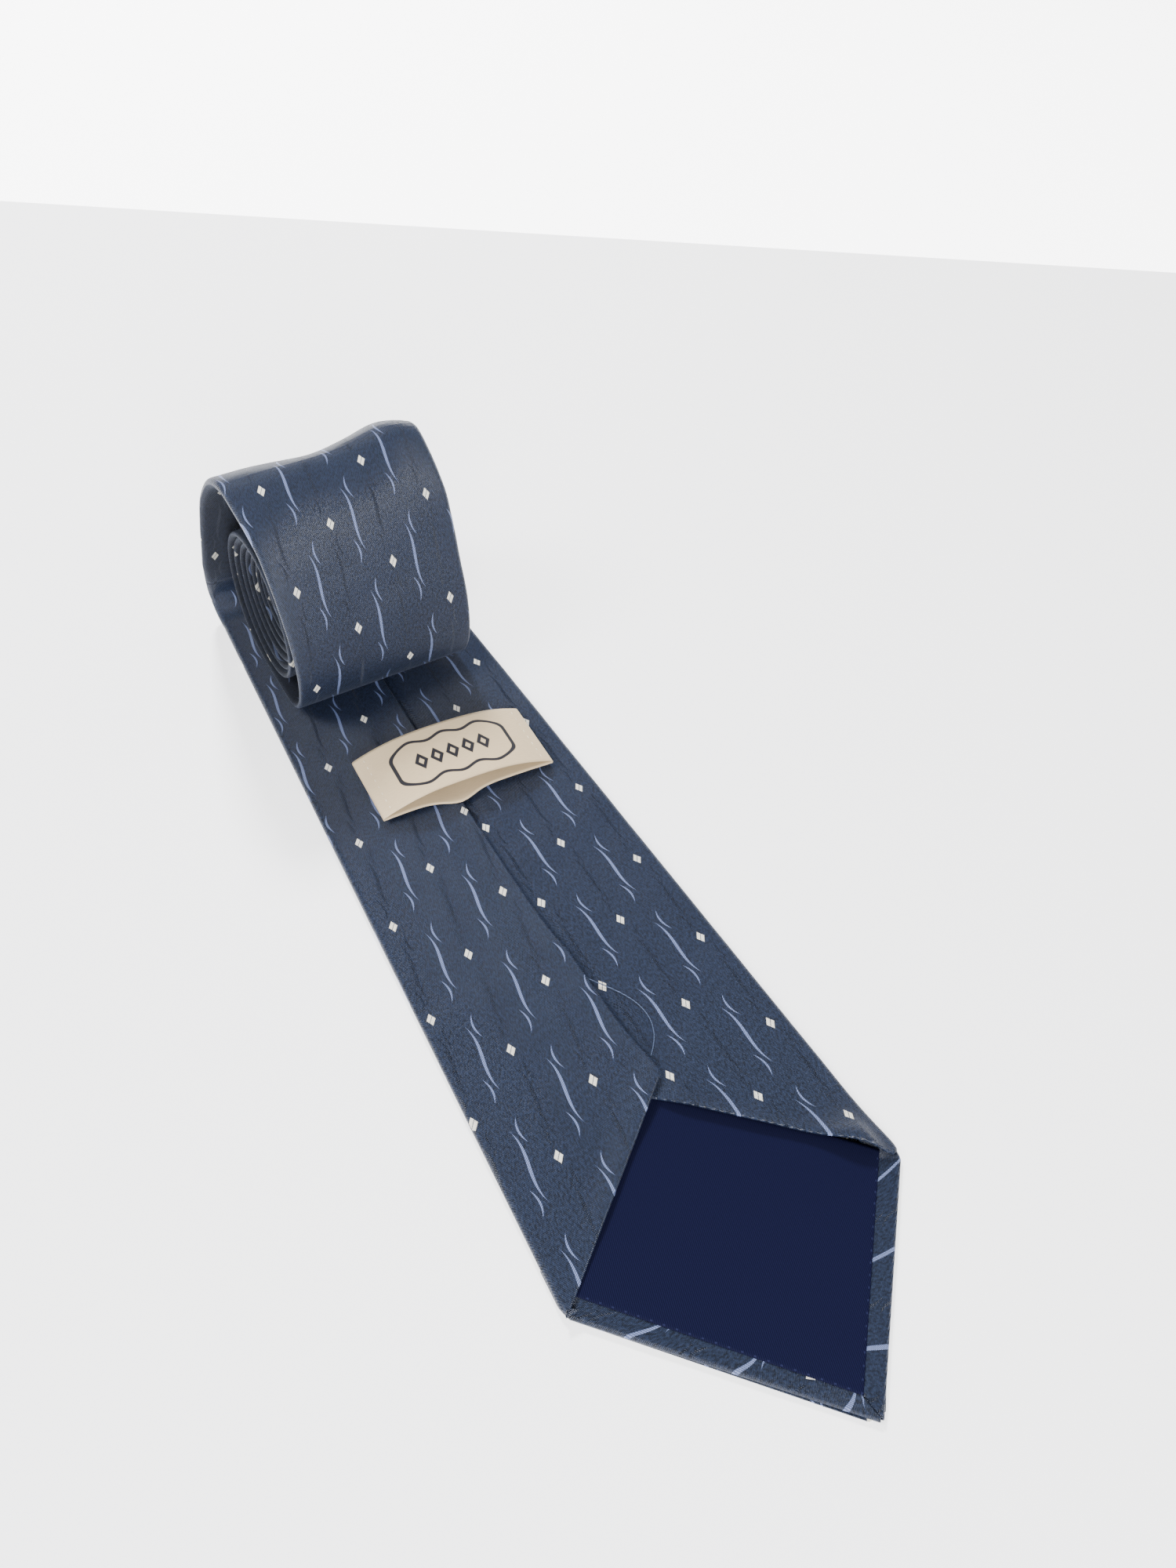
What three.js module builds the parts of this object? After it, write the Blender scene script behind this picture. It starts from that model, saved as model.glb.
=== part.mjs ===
// A gentleman's necktie, lying face down. The wide blade is flat, with its lined point at the front,
// and the rest of the tie is rolled up on top of its far end.
// Millimetres, +Z up. The tie runs along +Y from the blade's point, and X runs across it.
// The origin is on the ground, in the middle of the tie's box.
import * as THREE from 'three';

// Cloth and layers
const CLOTH = 0.4;                  // woven silk of the envelope
const ROLLED_CLOTH = 0.3;           // the same silk, pressed in the roll
const GAP = 0.3;                    // air between neighbouring layers
const WOOL = 0.9;                   // interlining
const ROLLED_WOOL = 0.6;
const LINING = 0.3;                 // tipping
const THREAD = 0.3;
const CROWN = 0.03;                 // the rolled layers bow out this much along their middle

// Outline of the blade and the rest of the tie, by distance from the blade's point
const HALF_WIDTH = 47.5;            // half the blade's width at its corners
const CORNER = 50;                  // how far the corners lie behind the point
const POINT_OFFSET = 4.5;           // the point sits a little to the right
const POINT_HALF = 0.8;             // half the blunt width of the point
const TAPER = 0.039;                // loss of half width per millimetre of length
const NECK_HALF = 17.5;
const TAIL_START = 1050;            // where the tie widens again
const TAIL_HALF = 23;
const TAIL_POINT = 24;              // length of the tail's point
const HEM = 7;                      // turned edge along the blade's point
const TAIL_HEM = 1.6;
const TAIL_FLAP_RUN = 18;           // length over which the tail's flaps close
const TAIL_LINED = 60;              // length of the tail's lining

// Flaps on the back of the blade
const LEFT_FLAP = { from: 54, to: 97, edge: 4.5 };
const RIGHT_FLAP = { from: 52, to: 97, edge: -5 };
const SEAM_STRAIGHT = 150;          // beyond this the left flap's edge runs on the centre line
const OVERLAP_LIFT = 1.3;           // the left flap rides this much higher where it overlaps
const LIFT_RUN = { from: 60, to: 88 };
// The step in the left flap where it climbs over the right one: how far it starts and ends from the
// flap's edge, and at the least, as shares of the flap's width from its side fold
const LIFT_STEP = { start: 13.5, end: 10, startShare: 0.5, endShare: 0.8 };
const LINING_END = 140;

// The bend that leaves the ground, and the roll
const BEND_START = 318;
const BEND_RADIUS = 12;
const BEND_STEP = 15;               // degrees
const STEPS_PER_TURN = 16;
const TURNS = 8;
const ROLL_LEFT = { y: 290, z: 29.8, across: 28, up: 24.5 };
const ROLL_RIGHT = { y: 300, z: 29.8, across: 26.5, up: 24.5 };
const PITCH = 2.12;                 // each turn of the roll lies this much further in
const WRAP_LEAN = { by: 3.5, full: 352, back: 385, end: 435 };
const ROLL_EDGE = -32;              // left edge of the windings
const FLUSH_FROM = 540;
const EDGE_RECESS = 0.009;          // how fast that edge draws in, per millimetre of length
const ROLL_HALF = 34;               // where the left and right outlines of the roll are given
const NECK_SEAM = 740;              // joins between the three pieces of the envelope
const TAIL_SEAM = 1080;

// Keeper loop
const KEEPER = { width: 57, length: 26, x: 4.2, y: 222, turn: -1.2, wall: 0.35, rise: 5.4 };

// Outer wrap of the roll from the top of the bend to its underside: [y, z] at its left and right
// edge. The left edge bulges towards the blade's point, and the right edge stands rounder.
const WRAP = [
  [[327, 23], [329, 24]], [[324, 33.5], [328, 35]], [[321.5, 44.5], [326, 46.5]],
  [[317, 57], [321, 58]], [[309.5, 68], [314, 68]], [[299.5, 72.5], [304.5, 73.5]],
  [[288.5, 69.5], [295, 70]], [[278.5, 64], [286, 63]], [[270, 56], [279.5, 54]],
  [[262.5, 46.5], [273, 42]], [[257, 35.5], [266.5, 31.5]], [[255.3, 25], [263.5, 21.5]],
  [[258, 14.5], [263.5, 13]], [[264, 7.5], [267, 7]], [[272, 5.2], [275, 5.2]],
];

const materials = {
  silk: { color: 0x435572, roughness: 0.55, metalness: 0 },
  lining: { color: 0x1b1c3e, roughness: 0.6, metalness: 0 },
  wool: { color: 0xe6e1d6, roughness: 0.95, metalness: 0 },
  satin: { color: 0xe8dcc8, roughness: 0.45, metalness: 0 },
  thread: { color: 0x55617c, roughness: 0.5, metalness: 0 },
};
const tie = new THREE.Group();
tie.position.y = -(BEND_START + BEND_RADIUS) / 2;

function addPart(name, geometry, material) {
  const mesh = new THREE.Mesh(geometry, new THREE.MeshStandardMaterial(materials[material]));
  mesh.name = name;
  tie.add(mesh);
  return mesh;
}

const radians = THREE.MathUtils.degToRad;
const mix = THREE.MathUtils.lerp;
const ramp = (value, from, to) => THREE.MathUtils.clamp((value - from) / (to - from), 0, 1);

// ---- The path of the tie's face: one station for each cross section ----
// In the flat part, the stations stand close where the flaps' edges and heights change.

const flat = [0, 7.5, 25, CORNER, 52, 54, 60, 70, 80, 88, 92, 97, 98.5, 110, 125, 150, 200, 260, BEND_START];
const stations = flat.map((y) => ({ left: [y, 0], right: [y, 0] }));
for (let angle = BEND_STEP; angle <= 90; angle += BEND_STEP) {
  const bend = [
    BEND_START + BEND_RADIUS * Math.sin(radians(angle)),
    BEND_RADIUS * (1 - Math.cos(radians(angle))),
  ];
  stations.push({ left: bend, right: bend });
}
const BEND_MIDDLE = flat.length - 1 + 45 / BEND_STEP;
for (const [left, right] of WRAP) stations.push({ left, right });
for (let step = 0; step <= TURNS * STEPS_PER_TURN; step += 1) {
  const turns = step / STEPS_PER_TURN;
  const angle = 2 * Math.PI * (turns - 0.25);
  const oval = ({ y, z, across, up }) => [
    y + (across - PITCH * turns) * Math.cos(angle),
    z + (up - PITCH * turns) * Math.sin(angle),
  ];
  stations.push({ left: oval(ROLL_LEFT), right: oval(ROLL_RIGHT) });
}

// Distance along the tie, and the direction of travel at each edge
const between = (a, b) => Math.hypot(b[0] - a[0], b[1] - a[1]);
const direction = (a, b) => [(b[0] - a[0]) / between(a, b), (b[1] - a[1]) / between(a, b)];
stations.forEach((station, i) => {
  const before = stations[Math.max(i - 1, 0)];
  const after = stations[Math.min(i + 1, stations.length - 1)];
  const travel = (between(before.left, station.left) + between(before.right, station.right)) / 2;
  station.along = i === 0 ? 0 : before.along + travel;
  station.leftWay = direction(before.left, after.left);
  station.rightWay = direction(before.right, after.right);
});
const LENGTH = stations.at(-1).along;
const TAIL_CORNER = LENGTH - TAIL_POINT;

// A point of the tie: x across, depth inwards from its face, and a shift along its length
function place(station, x, depth, shift = 0) {
  const share = (x + ROLL_HALF) / (2 * ROLL_HALF);
  const [y, z] = [0, 1].map((k) => mix(station.left[k], station.right[k], share));
  const [wayY, wayZ] = [0, 1].map((k) => mix(station.leftWay[k], station.rightWay[k], share));
  const size = Math.hypot(wayY, wayZ);
  return new THREE.Vector3(
    x,
    y + (wayY * shift - wayZ * depth) / size,
    z + (wayZ * shift + wayY * depth) / size,
  );
}

function halfWidth(along) {
  if (along <= CORNER) return mix(POINT_HALF, HALF_WIDTH, along / CORNER);
  if (along >= TAIL_CORNER) return mix(TAIL_HALF, POINT_HALF, ramp(along, TAIL_CORNER, LENGTH));
  const tapered = HALF_WIDTH - TAPER * (along - CORNER);
  return Math.max(tapered, mix(NECK_HALF, TAIL_HALF, ramp(along, TAIL_START, TAIL_CORNER)));
}
// The middle of the tie: the point sits to the right, the outer wrap leans to the left, and the
// windings inside it lie almost flush at their left edges
function centre(along) {
  const lean = ramp(along, BEND_START, WRAP_LEAN.full) * (1 - ramp(along, WRAP_LEAN.back, WRAP_LEAN.end));
  const outer = POINT_OFFSET * (1 - ramp(along, 0, CORNER)) - WRAP_LEAN.by * lean;
  const edge = ROLL_EDGE + EDGE_RECESS * Math.max(along - FLUSH_FROM, 0);
  const flush = edge + halfWidth(Math.min(along, TAIL_CORNER));
  return mix(outer, flush, ramp(along, WRAP_LEAN.end, FLUSH_FROM));
}

// A closed solid through one closed outline of [x, depth] for each station, with flat ends.
// The two ends stop half a gap short of their stations.
function sweep(first, last, outline) {
  const rings = [];
  const corners = [];
  for (let i = first; i <= last; i += 1) {
    const shift = i === first ? GAP / 2 : i === last ? -GAP / 2 : 0;
    const ring = outline(stations[i].along);
    rings.push(ring);
    for (const [x, depth] of ring) corners.push(...place(stations[i], x, depth, shift));
  }
  const count = rings[0].length;
  const triangles = [];
  for (let i = 0; i < rings.length - 1; i += 1) {
    for (let k = 0; k < count; k += 1) {
      const next = (k + 1) % count;
      const [a, b] = [i * count + k, i * count + next];
      // Every layer is split along the same diagonal, so that twisted layers stay parallel
      if (rings[i][next][0] < rings[i][k][0]) triangles.push(a, a + count, b + count, a, b + count, b);
      else triangles.push(a, a + count, b, b, a + count, b + count);
    }
  }
  for (const [ring, flipped] of [[0, false], [rings.length - 1, true]]) {
    const contour = rings[ring].map(([x, depth]) => new THREE.Vector2(x, depth));
    for (const face of THREE.ShapeUtils.triangulateShape(contour, [])) {
      triangles.push(...(flipped ? [...face].reverse() : face).map((k) => ring * count + k));
    }
  }
  const geometry = new THREE.BufferGeometry();
  geometry.setAttribute('position', new THREE.Float32BufferAttribute(corners, 3));
  geometry.setIndex(triangles);
  geometry.computeVertexNormals();
  return geometry;
}

// A flat layer: a plain strip between two depths
function strip(first, last, inset, low, high) {
  return sweep(first, last, (along) => {
    const [half, mid] = [Math.max(halfWidth(along) - inset, POINT_HALF / 2), centre(along)];
    return [
      [mid - half, low], [mid, low - CROWN], [mid + half, low],
      [mid + half, high], [mid, high - CROWN], [mid - half, high],
    ];
  });
}

// ---- Envelope: the silk, folded round to the back in two flaps ----

// The wide blade. Its left flap lies over the right one, and its point has a turned hem.
const FLAP_TOP = CLOTH + GAP + WOOL + GAP + LINING + GAP + CLOTH;

function bladeOutline(along) {
  const half = halfWidth(along);
  const mid = centre(along);
  const inside = half - CLOTH;
  const hem = Math.max(half - HEM, GAP / 2);
  const settle = mix(LEFT_FLAP.edge, 0, ramp(along, LEFT_FLAP.to, SEAM_STRAIGHT));
  const left = mix(mid - hem, settle, ramp(along, LEFT_FLAP.from, LEFT_FLAP.to));
  const right = mix(mid + hem, RIGHT_FLAP.edge, ramp(along, RIGHT_FLAP.from, RIGHT_FLAP.to));
  const flap = left - mid + inside;
  const stepStart = Math.max(mid - inside + flap * LIFT_STEP.startShare, left - LIFT_STEP.start);
  const stepEnd = Math.max(mid - inside + flap * LIFT_STEP.endShare, left - LIFT_STEP.end);
  const top = FLAP_TOP + OVERLAP_LIFT * ramp(along, LIFT_RUN.from, LIFT_RUN.to);
  return [
    [mid - half, 0], [mid + half, 0], [mid + half, FLAP_TOP], [right, FLAP_TOP],
    [right, FLAP_TOP - CLOTH], [mid + inside, FLAP_TOP - CLOTH], [mid + inside, CLOTH],
    [mid - inside, CLOTH], [mid - inside, FLAP_TOP - CLOTH], [stepStart, FLAP_TOP - CLOTH],
    [stepEnd, top - CLOTH], [left, top - CLOTH], [left, top], [stepEnd, top],
    [stepStart, FLAP_TOP], [mid - half, FLAP_TOP],
  ];
}

// The rolled part: both flaps meet on the centre line, and they open again at the tail's point.
function rolledTop(along) {
  const lined = along > LENGTH - TAIL_LINED ? LINING + GAP : 0;
  return ROLLED_CLOTH + GAP + ROLLED_WOOL + GAP + lined + ROLLED_CLOTH;
}

function rolledOutline(along) {
  const half = halfWidth(along);
  const mid = centre(along);
  const inside = half - ROLLED_CLOTH;
  const open = ramp(along, TAIL_CORNER - TAIL_FLAP_RUN, TAIL_CORNER);
  const edge = mix(GAP / 2, Math.max(half - TAIL_HEM, GAP / 2), open);
  const top = rolledTop(along);
  const under = top - ROLLED_CLOTH;
  const outline = [
    [-half, 0], [0, -CROWN], [half, 0], [half, top], [edge, top], [edge, under],
    [inside, under], [inside, ROLLED_CLOTH], [0, ROLLED_CLOTH - CROWN], [-inside, ROLLED_CLOTH],
    [-inside, under], [-edge, under], [-edge, top], [-half, top],
  ];
  return outline.map(([x, depth]) => [mid + x, depth]);
}

const LAST = stations.length - 1;
const stationAt = (along) => stations.findIndex((station) => station.along >= along);
const neckSeam = stationAt(NECK_SEAM);
const tailSeam = stationAt(TAIL_SEAM);
addPart('envelope_blade', sweep(0, BEND_MIDDLE, bladeOutline), 'silk');
addPart('envelope_wrap', sweep(BEND_MIDDLE, neckSeam, rolledOutline), 'silk');
addPart('envelope_neck', sweep(neckSeam, tailSeam, rolledOutline), 'silk');
addPart('envelope_tail', sweep(tailSeam, LAST, rolledOutline), 'silk');

// ---- Inside the envelope ----

// Wool interlining, the tie's body. It is cut in two only where the roll leaves the blade.
const WOOL_LOW = CLOTH + GAP;
const ROLLED_WOOL_LOW = ROLLED_CLOTH + GAP;
const ROLLED_WOOL_HIGH = ROLLED_WOOL_LOW + ROLLED_WOOL;
const INSET = CLOTH + GAP;
const POINT_STATION = 1;            // inner layers stop short of the points
const TAIL_LAYERS_END = LAST - 5;
addPart('interlining_blade', strip(POINT_STATION, BEND_MIDDLE, INSET, WOOL_LOW, WOOL_LOW + WOOL), 'wool');
addPart(
  'interlining_roll',
  strip(BEND_MIDDLE, TAIL_LAYERS_END, INSET, ROLLED_WOOL_LOW, ROLLED_WOOL_HIGH),
  'wool',
);

// Navy tipping behind both points
const TIPPING_LOW = WOOL_LOW + WOOL + GAP;
const bladeLiningEnd = stationAt(LINING_END);
addPart('tipping_blade', strip(POINT_STATION, bladeLiningEnd, INSET, TIPPING_LOW, TIPPING_LOW + LINING), 'lining');
const TAIL_TIPPING_LOW = ROLLED_WOOL_HIGH + GAP;
const tailLiningStart = stationAt(LENGTH - TAIL_LINED);
addPart(
  'tipping_tail',
  strip(tailLiningStart, TAIL_LAYERS_END, INSET, TAIL_TIPPING_LOW, TAIL_TIPPING_LOW + LINING),
  'lining',
);

// ---- Thread: the slip stitch under the seam's fold, its loose end, and the tacks ----

function threadAlong(points, sides) {
  const curve = new THREE.CatmullRomCurve3(points);
  const section = new THREE.Shape();
  for (let k = 0; k < sides; k += 1) {
    const turn = (2 * Math.PI * (k + 0.5)) / sides;
    const [x, y] = [(THREAD / 2) * Math.cos(turn), (THREAD / 2) * Math.sin(turn)];
    if (k === 0) section.moveTo(x, y);
    else section.lineTo(x, y);
  }
  section.closePath();
  const steps = Math.min(80, Math.round(curve.getLength() / (2.5 * THREAD)));
  return new THREE.ExtrudeGeometry(section, { steps, extrudePath: curve, curveSegments: 1 });
}

const THREAD_HEIGHT = FLAP_TOP + GAP + THREAD / 2;
const slipStitch = [
  new THREE.Vector3(0, 116, THREAD_HEIGHT),
  new THREE.Vector3(-0.6, 150, THREAD_HEIGHT),
  new THREE.Vector3(-1.2, 200, THREAD_HEIGHT),
  new THREE.Vector3(-1.2, 245, THREAD_HEIGHT),
];
addPart('slip_stitch', threadAlong(slipStitch, 6), 'thread');

// The slack loop pulled out of the slip stitch, lying on the right flap
const slackLoop = [
  [1.9, 134.5], [3.6, 131.8], [6.4, 127.9], [9.2, 123.6], [11.2, 118.8],
  [11.7, 113.8], [10.4, 109.2], [8.2, 105.8], [6.0, 103.4],
].map(([x, y]) => new THREE.Vector3(x, y, THREAD_HEIGHT));
addPart('slack_thread', threadAlong(slackLoop, 8), 'thread');

function block(name, size, position, material, turn = 0) {
  const mesh = addPart(name, new THREE.BoxGeometry(...size), material);
  mesh.position.set(...position);
  mesh.rotation.z = radians(turn);
}
block('bar_tack_blade', [5, 1.6, THREAD], [0.2, 107, THREAD_HEIGHT], 'thread');

// Tail tack: a thick stitch bridging the two flaps where the last turn runs level
const tackStation = stations[LAST - STEPS_PER_TURN / 2];
const tackDepth = rolledTop(tackStation.along) + GAP + THREAD / 2;
const tack = addPart('bar_tack_tail', new THREE.BoxGeometry(5, 1.6, THREAD), 'thread');
tack.position.copy(place(tackStation, centre(tackStation.along), tackDepth));
tack.rotation.x = Math.atan2(
  tackStation.leftWay[1] + tackStation.rightWay[1],
  tackStation.leftWay[0] + tackStation.rightWay[0],
);

// ---- Keeper loop: a satin label folded into a flat tube that holds the narrow end ----

const KEEPER_BOTTOM = FLAP_TOP + OVERLAP_LIFT + GAP;
const half = KEEPER.width / 2;
const arch = (u, extra) => KEEPER_BOTTOM + extra + KEEPER.rise * (1 - Math.abs(u) ** 3);
const ARCH_STEPS = 12;
const outer = new THREE.Shape();
outer.moveTo(-half, KEEPER_BOTTOM);
outer.lineTo(half, KEEPER_BOTTOM);
for (let k = 0; k <= ARCH_STEPS; k += 1) {
  const u = 1 - (2 * k) / ARCH_STEPS;
  outer.lineTo(half * u, arch(u, 2 * KEEPER.wall + GAP));
}
outer.closePath();
const inner = new THREE.Path();
const innerHalf = half - 2 * KEEPER.wall;
inner.moveTo(-innerHalf, KEEPER_BOTTOM + KEEPER.wall);
for (let k = 0; k <= ARCH_STEPS; k += 1) {
  const u = (2 * k) / ARCH_STEPS - 1;
  inner.lineTo(innerHalf * u, arch(u, KEEPER.wall + GAP));
}
inner.lineTo(innerHalf, KEEPER_BOTTOM + KEEPER.wall);
inner.closePath();
outer.holes.push(inner);
const keeperGeometry = new THREE.ExtrudeGeometry(outer, { depth: KEEPER.length, bevelEnabled: false });
keeperGeometry.rotateX(Math.PI / 2).translate(0, KEEPER.length / 2, 0);
const keeper = addPart('keeper_loop', keeperGeometry, 'satin');
keeper.position.set(KEEPER.x, KEEPER.y, 0);
keeper.rotation.z = radians(KEEPER.turn);

// The rows of stitches that hold the keeper's ends down on the two flaps
const TACK_ROW = [1, KEEPER.length - 8, OVERLAP_LIFT - GAP];
const TACK_HEIGHT = FLAP_TOP + GAP + TACK_ROW[2] / 2;
const TACK_REACH = half - 4;
const TACK_SHIFT = TACK_REACH * Math.sin(radians(KEEPER.turn));
block('keeper_stitches_left', TACK_ROW, [KEEPER.x - TACK_REACH, KEEPER.y - TACK_SHIFT, TACK_HEIGHT],
  'thread', KEEPER.turn);
block('keeper_stitches_right', TACK_ROW, [KEEPER.x + TACK_REACH, KEEPER.y + TACK_SHIFT, TACK_HEIGHT],
  'thread', KEEPER.turn);

export default tie;
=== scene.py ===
"""A gentleman's silk necktie lying face down, with the narrow end rolled up on its far end."""

import bmesh
import bpy
import numpy as np
from mathutils import Matrix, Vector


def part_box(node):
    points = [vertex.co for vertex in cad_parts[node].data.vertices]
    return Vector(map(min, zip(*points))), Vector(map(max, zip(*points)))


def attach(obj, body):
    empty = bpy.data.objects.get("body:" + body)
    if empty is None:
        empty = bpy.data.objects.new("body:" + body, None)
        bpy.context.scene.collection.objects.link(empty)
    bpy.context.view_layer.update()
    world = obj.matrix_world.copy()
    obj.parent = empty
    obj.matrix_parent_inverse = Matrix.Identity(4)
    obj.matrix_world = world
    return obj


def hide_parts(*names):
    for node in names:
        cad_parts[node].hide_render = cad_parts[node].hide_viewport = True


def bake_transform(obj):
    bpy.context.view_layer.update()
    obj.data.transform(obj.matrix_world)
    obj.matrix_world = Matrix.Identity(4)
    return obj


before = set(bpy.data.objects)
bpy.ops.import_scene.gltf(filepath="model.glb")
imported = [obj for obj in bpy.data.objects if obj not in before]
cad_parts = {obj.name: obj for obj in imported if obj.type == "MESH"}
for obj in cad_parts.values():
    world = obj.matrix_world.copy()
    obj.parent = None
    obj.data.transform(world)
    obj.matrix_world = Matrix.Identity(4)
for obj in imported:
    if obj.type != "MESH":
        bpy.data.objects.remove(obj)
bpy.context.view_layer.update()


# ---- Camera: a long look down the tie from beside its point ----

camera_data = bpy.data.cameras.new("camera")
camera_data.lens = 31.41
camera = bpy.data.objects.new("camera", camera_data)
RIGHT, UP, FORWARD = (0.8731, -0.4853, 0.0474), (0.3285, 0.6572, 0.6784), (0.3606, 0.5767, -0.7331)
camera.matrix_world = Matrix.Translation((-0.1158, -0.21553, 0.31763)) @ Matrix(
    (RIGHT, UP, [-c for c in FORWARD])).transposed().to_4x4()
bpy.context.collection.objects.link(camera)
bpy.context.scene.camera = camera


# ---- Slack thread: a loop of the back seam's slip stitch, left loose on purpose ----
# Slate sewing thread, 0.3 mm thick. It comes out from under the left flap's fold, lies in a
# loose curve on the right flap, and goes back under the fold near the bar tack.

MM = 0.001                          # one millimetre, in metres
MIDDLE = 165.0                      # from the blade's point to the middle of the tie's box
LOOP = np.array([
    [1.9, 134.5, 3.35], [3.6, 131.8, 3.35], [6.4, 127.9, 3.35], [9.2, 123.6, 3.35],
    [11.2, 118.8, 3.35], [11.7, 113.8, 3.35], [10.4, 109.2, 3.35], [8.2, 105.8, 3.35],
    [6.0, 103.4, 3.35]])
THREAD_DIAMETER = 0.3


def smooth_through(points, steps):
    """A Catmull-Rom curve: on each span, the cubic through two points whose slope at each of them is
    half the way from the point before it to the point after it."""
    p = np.vstack((2 * points[0] - points[1], points, 2 * points[-1] - points[-2]))
    a, b, c, d = (p[k:len(p) - 3 + k, None, :] for k in range(4))
    t = (np.arange(steps) / steps)[None, :, None]
    spans = 0.5 * (2 * b + (c - a) * t + (2 * a - 5 * b + 4 * c - d) * t ** 2
                   + (3 * b - a - 3 * c + d) * t ** 3)
    return np.vstack((spans.reshape(-1, p.shape[1]), points[-1:]))


def node(tree, kind, *inputs, output=0, named=None, **settings):
    """Adds one node. Its inputs fill the sockets in order, each a link or a value, and None skips one."""
    made = tree.nodes.new("ShaderNode" + kind)
    for name, value in settings.items():
        setattr(made, name, value)
    by_name = ((made.inputs[name], value) for name, value in (named or {}).items())
    for socket, value in [*zip(made.inputs, inputs), *by_name]:
        if isinstance(value, bpy.types.NodeSocket):
            tree.links.new(value, socket)
        elif value is not None:
            socket.default_value = value
    return made.outputs[output] if made.outputs else made


def linear(colour):
    """An sRGB hex colour as linear light: below 0.04045 divided by 12.92, above it a power of 2.4."""
    c = np.array([int(colour[k:k + 2], 16) for k in (1, 3, 5)]) / 255
    return (*np.where(c <= 0.04045, c / 12.92, ((c + 0.055) / 1.055) ** 2.4), 1.0)


def new_material(name):
    """An empty node material, and its tree."""
    made = bpy.data.materials.new(name)
    made.use_nodes = True
    made.node_tree.nodes.clear()
    return made, made.node_tree


def surface(tree, bump_height=None, strength=0.5, distance=0.0002, **sockets):
    """Joins a Principled surface to the material's output, with a bump where a height is given."""
    named = {name.replace("_", " "): value for name, value in sockets.items()}
    if bump_height is not None:
        named["Normal"] = node(tree, "Bump", strength, distance, named={"Height": bump_height})
    node(tree, "OutputMaterial", node(tree, "BsdfPrincipled", named=named))


# Sewing thread: spun polyester, slightly glossy, with the light and dark of its two twisted plies
thread_look, tree = new_material("sewing_thread_two_ply")
place_in = node(tree, "TexCoord", output=3)
twist = node(tree, "TexWave", place_in, named={"Scale": 900.0, "Distortion": 2.0},
             bands_direction="DIAGONAL")
surface(tree, Base_Color=node(tree, "MixRGB", twist, linear("#2A3448"), linear("#505C78")),
        Roughness=0.45)

path = smooth_through(LOOP, 8)
points = (path - (0, MIDDLE, 0)) * MM
curve = bpy.data.curves.new("slack_thread", "CURVE")
curve.dimensions = "3D"
curve.bevel_depth = THREAD_DIAMETER / 2 * MM
curve.bevel_resolution = 2
spline = curve.splines.new("POLY")
spline.points.add(len(points) - 1)
spline.points.foreach_set("co", np.c_[points, np.ones(len(points))].ravel())
curve.materials.append(thread_look)
slack_thread = bpy.data.objects.new("slack_loop", curve)
bpy.context.collection.objects.link(slack_thread)
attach(slack_thread, "blade")
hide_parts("slack_thread")


# ---- Silk of the envelope: slate blue jacquard, cut on the bias and folded into two flaps ----
# Its figures are ivory seeded squares, pale blue floating strokes, and the same strokes again in
# the ground colour. The cloth is one layer folded round to the back, so the figures are mirrored there.

LEFT_FACE, FRONT_FACE, RIGHT_FACE = 0, 1, 2
HALF_DROP = 16.6                    # mm from column to column, and the drop between neighbours
# On each face: the place of one figure, the lean of the bias cut in degrees, and the hand
FIGURES = {LEFT_FACE: (-26.1, 122.1, 5.9, -1), FRONT_FACE: (-24.2, 415.3, -1.4, 1),
           RIGHT_FACE: (23.0, 113.1, -2.75, -1)}
PALE_SHIFT, TONAL_SHIFT = (7.8, 0.4), (-0.7, -16.6)     # mm from the square seeds to the strokes


def weave_place(across, along, part):
    """Where a point of the envelope lies in the woven pattern, in mm: turned by the lean of the bias
    cut, measured from one figure, and mirrored on the two flaps."""
    x0, y0, lean, hand = FIGURES[part]
    c, s = np.cos(np.radians(lean)), np.sin(np.radians(lean))
    x, y = across - x0, along - y0
    return np.stack((hand * (x * c - y * s), x * s + y * c), -1)


def figure_grid(tree, u, v, shift):
    """Offset in mm from the nearest figure of the half-drop lattice: u is rounded to its column, and v
    is wrapped after odd columns drop by half."""
    across = node(tree, "Math", u, shift[0], operation="SUBTRACT")
    column = node(tree, "Math", node(tree, "Math", across, HALF_DROP, operation="DIVIDE"),
                  operation="ROUND")
    x = node(tree, "Math", across, node(tree, "Math", column, HALF_DROP, operation="MULTIPLY"),
             operation="SUBTRACT")
    drop = node(tree, "Math", node(tree, "Math", column, 2.0, operation="FLOORED_MODULO"), HALF_DROP,
                shift[1], operation="MULTIPLY_ADD")
    y = node(tree, "Math", node(tree, "Math", v, drop, operation="SUBTRACT"), HALF_DROP, -HALF_DROP,
             operation="WRAP")
    return x, y


def inside(tree, distance, soft):
    """1 where the distance inside an edge is positive, 0 outside, with a border of a smooth step."""
    return node(tree, "MapRange", distance, -soft, soft, 0.0, 1.0, interpolation_type="SMOOTHSTEP")


def stroke(tree, x, y, bow, length, width, power):
    """One leaf-shaped stroke: it is where x is less than width times (1 - (y/length)^2)^power, less a
    hair, from the line x = bow."""
    reach = node(tree, "Math", y, length, operation="DIVIDE")
    taper = node(tree, "Math", 1.0, node(tree, "Math", reach, reach, operation="MULTIPLY"),
                 operation="SUBTRACT")
    taper = node(tree, "Math", node(tree, "Math", taper, 0.0, operation="MAXIMUM"), power,
                 operation="POWER")
    off = node(tree, "Math", node(tree, "Math", x, bow, operation="SUBTRACT"), operation="ABSOLUTE")
    hair = 0.06
    wide = node(tree, "Math", taper, width, -hair, operation="MULTIPLY_ADD")
    return inside(tree, node(tree, "Math", wide, off, operation="SUBTRACT"), hair)


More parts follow.
